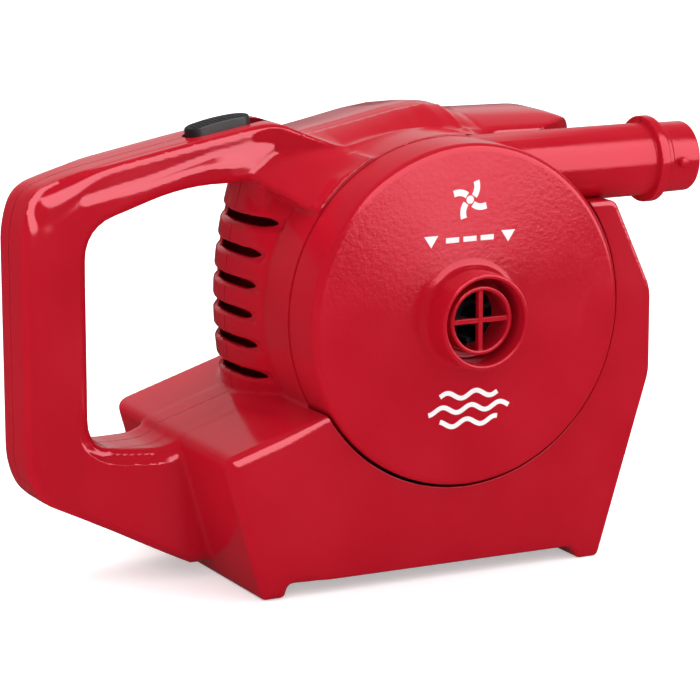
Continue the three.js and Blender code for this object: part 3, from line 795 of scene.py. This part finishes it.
def mix_colors(tree, amount, first, second):
    """Colour mix; each colour is three numbers or a socket."""
    mix = tree.nodes.new("ShaderNodeMix")
    mix.data_type = "RGBA"
    tree.links.new(amount, mix.inputs[0])
    for socket, color in zip((mix.inputs[6], mix.inputs[7]), (first, second)):
        if isinstance(color, tuple):
            socket.default_value = (*color, 1)
        else:
            tree.links.new(color, socket)
    return mix.outputs[2]


def finish(
    name, color, roughness, metallic=0.0, spread=0.08, grain=900.0, grain_depth=0.00002, tint=0.12,
    wear=0.0, worn=(1, 1, 1), gloss=0.5, gloss_tint=(1, 1, 1), edge=0.0,
):
    """One finish: colour that varies a little, roughness in patches, fine grain and softened edges."""
    mat, tree, shader = material(name)
    broad = add_noise(tree, 28.0, 6.0)
    fine = add_noise(tree, grain, 3.0)
    darker = tuple(c * (1 - tint) for c in color)
    lighter = tuple(min(1, c * (1 + tint)) for c in color)
    result = mix_colors(tree, map_range(tree, broad.outputs["Fac"], 0.3, 0.7, 0, 1), darker, lighter)
    if wear > 0:
        scuffs = add_noise(tree, 260.0, 8.0, 0.7)
        result = mix_colors(tree, map_range(tree, scuffs.outputs["Fac"], 0.66, 0.74, 0, wear), result, worn)
    tree.links.new(result, shader.inputs["Base Color"])
    low, high = roughness - spread / 2, roughness + spread / 2
    tree.links.new(map_range(tree, broad.outputs["Fac"], 0.35, 0.65, low, high), shader.inputs["Roughness"])
    bump = tree.nodes.new("ShaderNodeBump")
    bump.inputs["Strength"].default_value = 1.0
    bump.inputs["Distance"].default_value = grain_depth
    tree.links.new(fine.outputs["Fac"], bump.inputs["Height"])
    if edge > 0:
        bevel = tree.nodes.new("ShaderNodeBevel")
        bevel.samples = 4
        bevel.inputs["Radius"].default_value = edge
        tree.links.new(bevel.outputs["Normal"], bump.inputs["Normal"])
    tree.links.new(bump.outputs["Normal"], shader.inputs["Normal"])
    shader.inputs["Metallic"].default_value = metallic
    shader.inputs["Specular IOR Level"].default_value = gloss
    shader.inputs["Specular Tint"].default_value = (*gloss_tint, 1)
    return mat


RED = (0.45, 0.006, 0.017)
WORN_RED = (0.62, 0.10, 0.12)
case_red = finish(
    "case_red", RED, 0.11, spread=0.05, grain=700.0, grain_depth=0.000006, tint=0.04,
    wear=0.05, worn=WORN_RED, gloss=1.0, gloss_tint=(1, 0.42, 0.48), edge=0.0005,
)
cover_red = finish(
    "cover_red", RED, 0.15, spread=0.06, grain=520.0, grain_depth=0.00006, tint=0.04,
    wear=0.05, worn=WORN_RED, gloss=0.9, gloss_tint=(1, 0.26, 0.32), edge=0.0005,
)
grip_black = finish(
    "grip_black", (0.012, 0.0115, 0.0125), 0.5, grain=1500.0, grain_depth=0.00004, tint=0.2,
    wear=0.15, worn=(0.07, 0.07, 0.07), edge=0.0002,
)
white_ink = finish("white_ink", (0.86, 0.85, 0.85), 0.42, tint=0.03, grain_depth=0.00001)
dark_plastic = finish("dark_plastic", (0.02, 0.02, 0.022), 0.45, tint=0.2)
fan_plastic = finish(
    "fan_plastic", (0.03, 0.03, 0.033), 0.38, grain=600.0, tint=0.25, wear=0.2, worn=(0.12, 0.11, 0.10),
)
zinc = finish(
    "zinc", (0.56, 0.56, 0.58), 0.32, metallic=1.0, spread=0.2, grain=400.0, wear=0.3, worn=(0.3, 0.29, 0.27),
)
steel = finish("steel", (0.66, 0.66, 0.68), 0.2, metallic=1.0, spread=0.1)
bronze = finish("bronze", (0.5, 0.3, 0.12), 0.45, metallic=1.0, spread=0.15, grain=500.0)
copper = finish(
    "copper", (0.72, 0.32, 0.16), 0.3, metallic=1.0, spread=0.2, grain=400.0, wear=0.4, worn=(0.2, 0.1, 0.06),
)
brass = finish("brass", (0.78, 0.58, 0.22), 0.3, metallic=1.0, spread=0.15, grain=500.0)
battery_skin = finish(
    "battery_skin", (0.05, 0.055, 0.07), 0.4, grain=300.0, tint=0.2, wear=0.1, worn=(0.2, 0.2, 0.2),
)
nylon = finish("nylon", (0.78, 0.77, 0.73), 0.5, tint=0.05)
board_green = finish("board_green", (0.02, 0.16, 0.06), 0.35, tint=0.3)
wire_black = finish("wire_black", (0.015, 0.015, 0.015), 0.5, tint=0.2)
wire_red = finish("wire_red", (0.45, 0.01, 0.01), 0.45, tint=0.1)

FINISH = {
    "red_abs": case_red, "black_plastic": dark_plastic, "black_rubber": grip_black,
    "impeller_plastic": fan_plastic, "plated_steel": zinc, "shaft_steel": steel,
    "sintered_bronze": bronze, "lamination_and_winding": copper, "copper": copper,
    "battery_case": battery_skin, "terminal_brass": brass, "white_nylon": nylon,
    "board": board_green, "wire_black": wire_black, "wire_red": wire_red,
}
for part in frame["record"]["subparts"]:
    node = frame["nodes"].get(part["node"])
    if node:
        node.data.materials.clear()
        node.data.materials.append(FINISH[part["material_slot"]])

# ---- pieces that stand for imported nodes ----
for skin, nodes, body, slot, coat in (
    (front_skin, ["front_housing"], "case", "red_abs", case_red),
    (rear_skin, ["rear_housing"], "case", "red_abs", case_red),
    (cover_skin, ["fan_cover"], "case", "red_abs", cover_red),
    (scroll_skin, ["scroll_back"], "case", "red_abs", case_red),
    (ink, [], "case", "white_nylon", white_ink),
    (button_skin, ["switch_button"], "slider", "black_rubber", grip_black),
):
    skin.data.materials.clear()
    skin.data.materials.append(coat)
    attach(skin, body)
    if nodes:
        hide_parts(*nodes)

# ---- stage ----
BOX_LIGHT, WALL_LIGHT, ROOM_LIGHT = 4.9, 0.5, 0.05
FLOOR_Z = -123.5


def math_node(tree, operation, first, second):
    """One sum; each value is a number or a socket."""
    node = tree.nodes.new("ShaderNodeMath")
    node.operation = operation
    for socket, value in zip(node.inputs, (first, second)):
        if isinstance(value, (int, float)):
            socket.default_value = value
        else:
            tree.links.new(value, socket)
    return node.outputs[0]


def product(tree, factors):
    result = factors[0]
    for factor in factors[1:]:
        result = math_node(tree, "MULTIPLY", result, factor)
    return result


def mirrored_room(tree, direction):
    """What glossy surfaces mirror: a soft box at the front right and a pale wall behind."""
    part = tree.nodes.new("ShaderNodeSeparateXYZ")
    tree.links.new(direction, part.inputs[0])
    x, y, z = part.outputs
    turn = math_node(tree, "ARCTAN2", x, math_node(tree, "MULTIPLY", y, -1.0))
    rise = math_node(tree, "SUBTRACT", z, map_range(tree, turn, 0.46, 0.56, -0.162, -0.112))
    lean = math_node(tree, "ADD", turn, math_node(tree, "MULTIPLY", z, 1.2))
    box = product(tree, [
        map_range(tree, rise, 0, 0.01, 0, 1), map_range(tree, z, 0.80, 0.88, 1, 0),
        map_range(tree, lean, 0.266, 0.280, 0, 1), map_range(tree, turn, 1.00, 1.15, 1, 0), BOX_LIGHT,
    ])
    wall = product(tree, [
        map_range(tree, y, 0.0, 0.4, 0, 1), map_range(tree, z, 0.25, 0.75, 1, 0),
        map_range(tree, x, -0.3, 0.2, 0.1, 1), map_range(tree, z, -0.05, 0.1, 0, 1), WALL_LIGHT,
    ])
    return math_node(tree, "ADD", math_node(tree, "ADD", box, wall), ROOM_LIGHT)


def floor_finish():
    """A pale floor that glows a little to the camera and mirrors as part of the room."""
    mat = finish("floor_pale", (0.86, 0.86, 0.87), 0.6, grain=40.0, grain_depth=0.0002, tint=0.01)
    tree = mat.node_tree
    rays = tree.nodes.new("ShaderNodeLightPath")
    glow = tree.nodes.new("ShaderNodeEmission")
    glow.inputs["Color"].default_value = (1, 1, 1, 1)
    tree.links.new(map_range(tree, rays.outputs["Is Camera Ray"], 0, 1, 0.0, 0.42), glow.inputs["Strength"])
    lit = tree.nodes.new("ShaderNodeAddShader")
    tree.links.new(tree.nodes["Principled BSDF"].outputs[0], lit.inputs[0])
    tree.links.new(glow.outputs[0], lit.inputs[1])
    place = tree.nodes.new("ShaderNodeNewGeometry")
    outward = tree.nodes.new("ShaderNodeVectorMath")
    outward.operation = "MULTIPLY"
    outward.inputs[1].default_value = (-1, -1, -1)
    tree.links.new(place.outputs["Incoming"], outward.inputs[0])
    seen = tree.nodes.new("ShaderNodeEmission")
    seen.inputs["Color"].default_value = (1, 1, 1, 1)
    tree.links.new(mirrored_room(tree, outward.outputs[0]), seen.inputs["Strength"])
    choose = tree.nodes.new("ShaderNodeMixShader")
    tree.links.new(rays.outputs["Is Glossy Ray"], choose.inputs[0])
    tree.links.new(lit.outputs[0], choose.inputs[1])
    tree.links.new(seen.outputs[0], choose.inputs[2])
    tree.links.new(choose.outputs[0], tree.nodes["Material Output"].inputs["Surface"])
    return mat


def area_light(name, place, target, size, power):
    light = bpy.data.lights.new(name, "AREA")
    light.shape = "RECTANGLE"
    light.size, light.size_y = size
    light.energy = power
    obj = bpy.data.objects.new(name, light)
    obj.visible_glossy = False
    obj.location = place
    obj.rotation_euler = (Vector(target) - Vector(place)).to_track_quat("-Z", "Y").to_euler()
    bpy.context.scene.collection.objects.link(obj)


def studio():
    """Soft light from above, the mirrored room for glossy surfaces, near white for the camera."""
    world = bpy.data.worlds.new("studio")
    world.use_nodes = True
    sky = world.node_tree
    background = sky.nodes["Background"]
    background.inputs["Strength"].default_value = 1.0
    path = sky.nodes.new("ShaderNodeLightPath")
    coords = sky.nodes.new("ShaderNodeTexCoord")
    aim_up = sky.nodes.new("ShaderNodeVectorMath")
    aim_up.operation = "DOT_PRODUCT"
    aim_up.inputs[1].default_value = (0.30, 0.35, 0.89)
    sky.links.new(coords.outputs["Generated"], aim_up.inputs[0])
    for_gloss = sky.nodes.new("ShaderNodeMix")
    sky.links.new(map_range(sky, aim_up.outputs["Value"], 0.1, 1.0, 0.26, 2.1), for_gloss.inputs[2])
    sky.links.new(path.outputs["Is Glossy Ray"], for_gloss.inputs[0])
    sky.links.new(mirrored_room(sky, coords.outputs["Generated"]), for_gloss.inputs[3])
    for_camera = sky.nodes.new("ShaderNodeMix")
    for_camera.inputs[3].default_value = 0.97
    sky.links.new(path.outputs["Is Camera Ray"], for_camera.inputs[0])
    sky.links.new(for_gloss.outputs[0], for_camera.inputs[2])
    sky.links.new(for_camera.outputs[0], background.inputs["Color"])
    return world


floor = block(-3000, 3000, -3000, 3000, FLOOR_Z - 0.4, FLOOR_Z, "floor")
floor.data.materials.append(floor_finish())
centre = Vector((0.0, 0.0, 0.1))
area_light("top", (0.15, 0.35, 1.2), centre, (1.2, 0.9), 6.0)
area_light("front_fill", (-0.7, -1.5, 0.9), centre, (1.0, 0.9), 8.2)
area_light("left_strip", (-1.1, -0.3, 0.03), centre, (0.2, 0.6), 3.6)
area_light("right_strip", (1.2, -0.5, 0.5), centre, (0.3, 0.8), 1.4)
bpy.context.scene.view_settings.view_transform = "Standard"
bpy.context.scene.world = studio()

# ---- camera: from the front left and a little above ----
AZIMUTH, ELEVATION = math.radians(-27.0), math.radians(12.05)
DISTANCE, LENS = 1.575, 171.45514
level = math.cos(ELEVATION)
back = Vector((math.sin(AZIMUTH) * level, -math.cos(AZIMUTH) * level, math.sin(ELEVATION)))
aim = (Vector(ORIGIN) + Vector((-27.7, -19.8, -25.6))) / 1000
camera = bpy.data.objects.new("camera", bpy.data.cameras.new("camera"))
camera.data.lens = LENS
camera.location = aim + back * DISTANCE
camera.rotation_euler = (-back).to_track_quat("-Z", "Y").to_euler()
bpy.context.scene.collection.objects.link(camera)
bpy.context.scene.camera = camera
